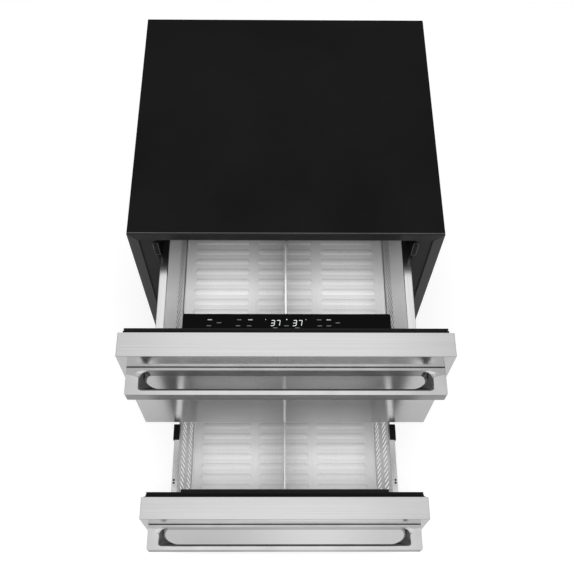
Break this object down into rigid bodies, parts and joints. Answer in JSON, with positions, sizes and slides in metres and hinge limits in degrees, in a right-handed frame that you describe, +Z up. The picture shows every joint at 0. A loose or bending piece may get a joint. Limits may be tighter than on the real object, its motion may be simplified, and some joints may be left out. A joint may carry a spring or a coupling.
{
  "type": "undercounter drawer refrigerator",
  "caption": "Black undercounter refrigerator with two brushed steel pull-out drawers, slotted steel bins on telescopic slides, bar handles and a control panel inside the upper drawer.",
  "frame": {"origin": "on the floor, under the middle of the part's outline with the drawers as drawn", "axes": "+X to the right seen from the front, +Y to the back, +Z up"},
  "size_m": [0.603, 1.047, 0.874],
  "materials": {
    "black_steel": "black textured enamel, satin",
    "frame_steel": "dark grey enamel, satin",
    "brushed_steel": "brushed stainless steel, grain along the width",
    "polished_casting": "polished metal casting",
    "bin_steel": "satin stainless sheet",
    "slide_steel": "zinc plated steel",
    "lining_plastic": "dark grey matt liner",
    "door_plastic": "black matt liner over the foamed core",
    "control_glass": "gloss black",
    "gasket_rubber": "black matt rubber",
    "insulation": "cream foam",
    "zinc_steel": "galvanised sheet",
    "compressor_black": "black enamel",
    "coil_metal": "bare fins and tube",
    "fan_plastic": "black matt plastic",
    "foot_rubber": "black plastic foot on a steel stem"
  },
  "bodies": {
    "cabinet": {"top_panel": "black_steel", "left_side_panel": "black_steel", "right_side_panel": "black_steel", "back_panel": "zinc_steel", "machine_deck": "zinc_steel", "frame_top_rail": "frame_steel", "frame_left_stile": "frame_steel", "frame_right_stile": "frame_steel", "frame_mid_rail": "frame_steel", "frame_bottom_rail": "frame_steel", "upper_liner": "lining_plastic", "lower_liner": "lining_plastic", "insulation_foam": "insulation", "base_pan": "zinc_steel", "kick_grille": "black_steel", "compressor": "compressor_black", "condenser": "coil_metal", "condenser_fan_guard": "fan_plastic", "drip_tray": "fan_plastic", "power_inlet": "fan_plastic", "evaporator": "coil_metal", "evaporator_cover": "lining_plastic", "upper_slide_fixed_left": "slide_steel", "upper_slide_fixed_right": "slide_steel", "lower_slide_fixed_left": "slide_steel", "lower_slide_fixed_right": "slide_steel"},
    "upper_drawer": {"upper_drawer_front": "brushed_steel", "upper_gasket": "gasket_rubber", "upper_door_liner": "door_plastic", "upper_handle": "polished_casting", "upper_bin_floor": "bin_steel", "upper_bin_left_side": "bin_steel", "upper_bin_right_side": "bin_steel", "upper_bin_back": "bin_steel", "upper_bin_divider": "bin_steel", "upper_slide_drawer_left": "slide_steel", "upper_slide_drawer_right": "slide_steel", "control_housing": "control_glass"},
    "lower_drawer": {"lower_drawer_front": "brushed_steel", "lower_gasket": "gasket_rubber", "lower_door_liner": "door_plastic", "lower_handle": "polished_casting", "lower_bin_floor": "bin_steel", "lower_bin_left_side": "bin_steel", "lower_bin_right_side": "bin_steel", "lower_bin_back": "bin_steel", "lower_bin_divider": "bin_steel", "lower_slide_drawer_left": "slide_steel", "lower_slide_drawer_right": "slide_steel"},
    "upper_slide_middles": {"upper_slide_middle_left": "slide_steel", "upper_slide_middle_right": "slide_steel"},
    "lower_slide_middles": {"lower_slide_middle_left": "slide_steel", "lower_slide_middle_right": "slide_steel"},
    "condenser_fan": {"condenser_fan_blade": "fan_plastic"},
    "evaporator_fan": {"evaporator_fan_blade": "fan_plastic"},
    "front_left_foot": {"front_left_leg": "foot_rubber"},
    "front_right_foot": {"front_right_leg": "foot_rubber"},
    "rear_left_foot": {"rear_left_leg": "foot_rubber"},
    "rear_right_foot": {"rear_right_leg": "foot_rubber"}
  },
  "joints": [
    {"name": "upper_drawer_slide", "type": "slide", "parent": "cabinet", "child": "upper_drawer", "axis": [0, -1, 0], "range_m": [-0.1843, 0.2557]},
    {"name": "lower_drawer_slide", "type": "slide", "parent": "cabinet", "child": "lower_drawer", "axis": [0, -1, 0], "range_m": [-0.388, 0.052]},
    {"name": "upper_middle_slide", "type": "slide", "parent": "cabinet", "child": "upper_slide_middles", "axis": [0, -1, 0], "range_m": [-0.09215, 0.12785]},
    {"name": "lower_middle_slide", "type": "slide", "parent": "cabinet", "child": "lower_slide_middles", "axis": [0, -1, 0], "range_m": [-0.194, 0.026]},
    {"name": "condenser_fan_spin", "type": "hinge", "parent": "cabinet", "child": "condenser_fan", "pos_m": [-0.125, 0.11275, 0.0758], "axis": [0, 1, 0], "continuous": true},
    {"name": "evaporator_fan_spin", "type": "hinge", "parent": "cabinet", "child": "evaporator_fan", "pos_m": [0, 0.42475, 0.783], "axis": [0, 1, 0], "continuous": true},
    {"name": "front_left_foot_screw", "type": "slide", "parent": "cabinet", "child": "front_left_foot", "axis": [0, 0, -1], "range_m": [-0.008, 0.022]},
    {"name": "front_right_foot_screw", "type": "slide", "parent": "cabinet", "child": "front_right_foot", "axis": [0, 0, -1], "range_m": [-0.008, 0.022]},
    {"name": "rear_left_foot_screw", "type": "slide", "parent": "cabinet", "child": "rear_left_foot", "axis": [0, 0, -1], "range_m": [-0.008, 0.022]},
    {"name": "rear_right_foot_screw", "type": "slide", "parent": "cabinet", "child": "rear_right_foot", "axis": [0, 0, -1], "range_m": [-0.008, 0.022]}
  ],
  "couplings": [
    {"joint": "upper_middle_slide", "follows": "upper_drawer_slide", "ratio": 0.5},
    {"joint": "lower_middle_slide", "follows": "lower_drawer_slide", "ratio": 0.5}
  ]
}
